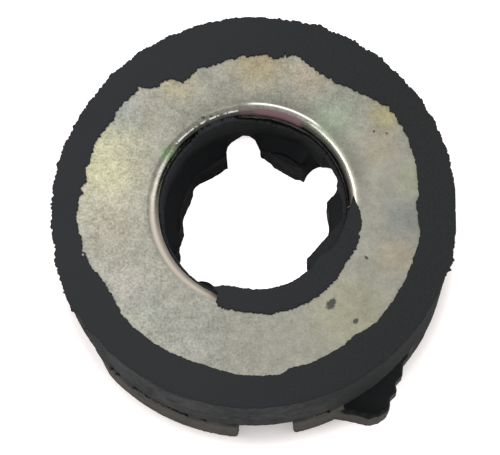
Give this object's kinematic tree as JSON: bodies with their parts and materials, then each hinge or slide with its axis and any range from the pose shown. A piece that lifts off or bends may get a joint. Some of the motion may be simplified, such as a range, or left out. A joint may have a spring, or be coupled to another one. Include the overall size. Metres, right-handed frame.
{
  "type": "seat rubber mount",
  "caption": "Round moulded rubber mount with a steel washer in its top face, a lobed bore for a spacer tube and grooved pads underneath, with ragged moulding flash.",
  "frame": {"origin": "on the axis of the bore, at the level of the pads' feet", "axes": "+Z along the bore towards the steel washer, +X and +Y across the ring; the ear is on the -Y side towards +X"},
  "size_m": [0.0606, 0.0611, 0.02],
  "materials": {
    "rubber": "matt black moulded rubber, slightly bloomed",
    "plated_steel": "dull zinc plating with a fine spangle and pale yellow-green tints"
  },
  "bodies": {
    "root": {"rubber_body": "rubber", "steel_washer": "plated_steel"}
  },
  "joints": []
}
